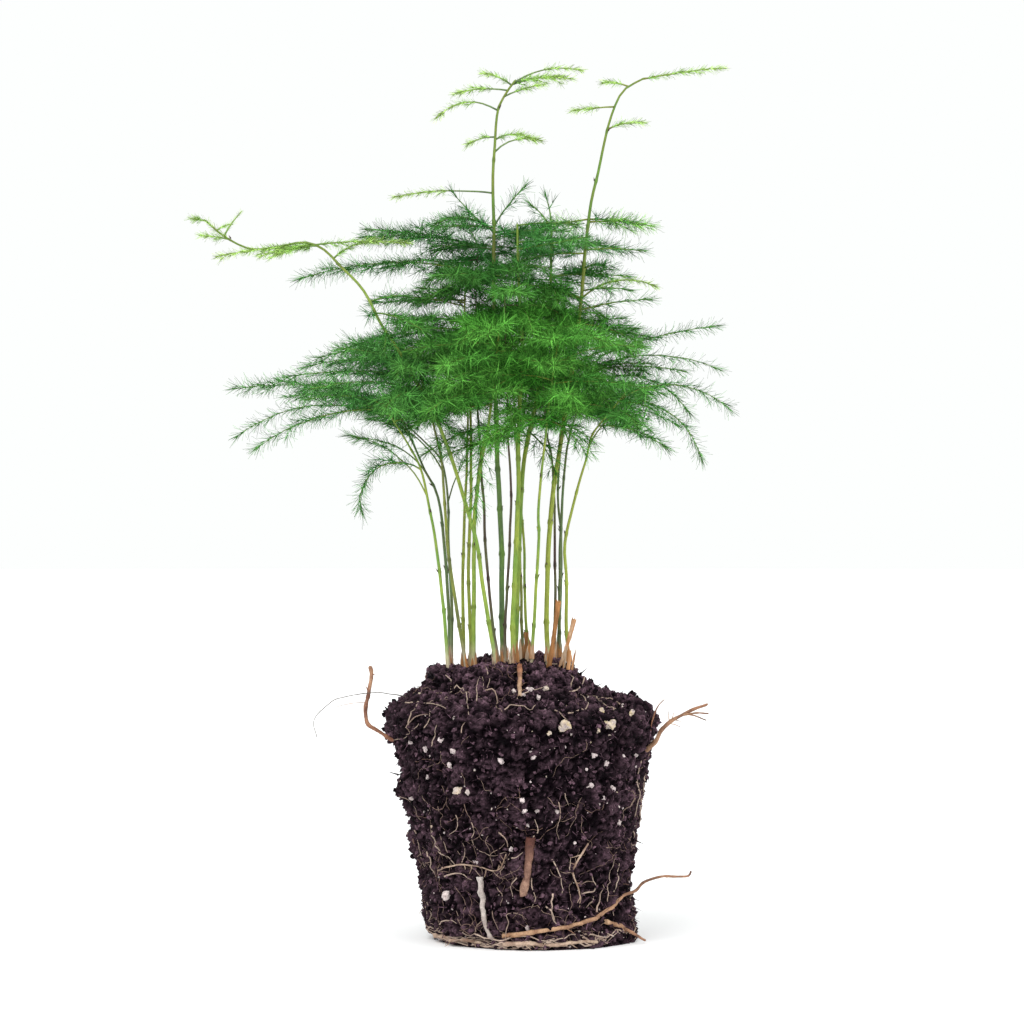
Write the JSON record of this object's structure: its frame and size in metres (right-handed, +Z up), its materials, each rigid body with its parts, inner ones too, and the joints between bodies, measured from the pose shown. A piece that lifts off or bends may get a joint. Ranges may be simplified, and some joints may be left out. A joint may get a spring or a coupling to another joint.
{
  "type": "asparagus fern with root ball",
  "caption": "Asparagus fern lifted out of its pot: feathery needle sprays on thin upright stems that stand in a tapered root ball of dark soil with perlite and loose roots.",
  "frame": {"origin": "centre of the root ball's flat underside, on the surface that it stands on", "axes": "+Z up along the stems; -Y is the side the picture shows; +X to the viewer's right"},
  "size_m": [0.2173, 0.1506, 0.3537],
  "materials": {
    "soil": "matt, dark and crumbly",
    "root_bark": "matt, reddish brown and fibrous",
    "root_pale": "matt, pale tan and fibrous",
    "dead_stem": "matt, dry orange brown",
    "foliage": "soft satin green",
    "foliage_dark": "soft satin, dark green",
    "foliage_young": "soft satin, yellow green"
  },
  "bodies": {
    "root": {"root_ball": "soil", "dead_stub_1": "dead_stem", "dead_stub_2": "dead_stem", "dead_stub_3": "dead_stem", "leafy_stem_01": "foliage", "leafy_stem_02": "foliage", "leafy_stem_03": "foliage", "leafy_stem_04": "foliage", "leafy_stem_05": "foliage", "leafy_stem_06": "foliage", "leafy_stem_07": "foliage", "leafy_stem_08": "foliage_young", "leafy_stem_09": "foliage_dark", "leafy_stem_10": "foliage_young", "leafy_stem_11": "foliage_dark", "leafy_stem_12": "foliage", "leafy_stem_13": "foliage", "leafy_stem_14": "foliage", "leafy_stem_15": "foliage_dark", "leafy_stem_16": "foliage", "leafy_stem_17": "foliage_young", "leafy_stem_18": "foliage_dark", "leafy_stem_19": "foliage", "leafy_stem_20": "foliage", "leafy_stem_21": "foliage", "root_back_1": "root_pale", "root_back_2": "root_pale", "root_back_3": "root_pale", "root_back_4": "root_pale", "root_brown_front": "root_bark", "root_crown": "root_bark", "root_foot_right": "root_pale", "root_front_left": "root_pale", "root_front_right": "root_pale", "root_left_hair": "root_pale", "root_left_twig": "root_bark", "root_lower_right": "root_pale", "root_pale_front": "root_pale", "root_right_fork": "root_bark", "root_rim_back": "root_pale", "root_rim_left": "root_pale", "root_rim_middle": "root_pale"}
  },
  "joints": []
}
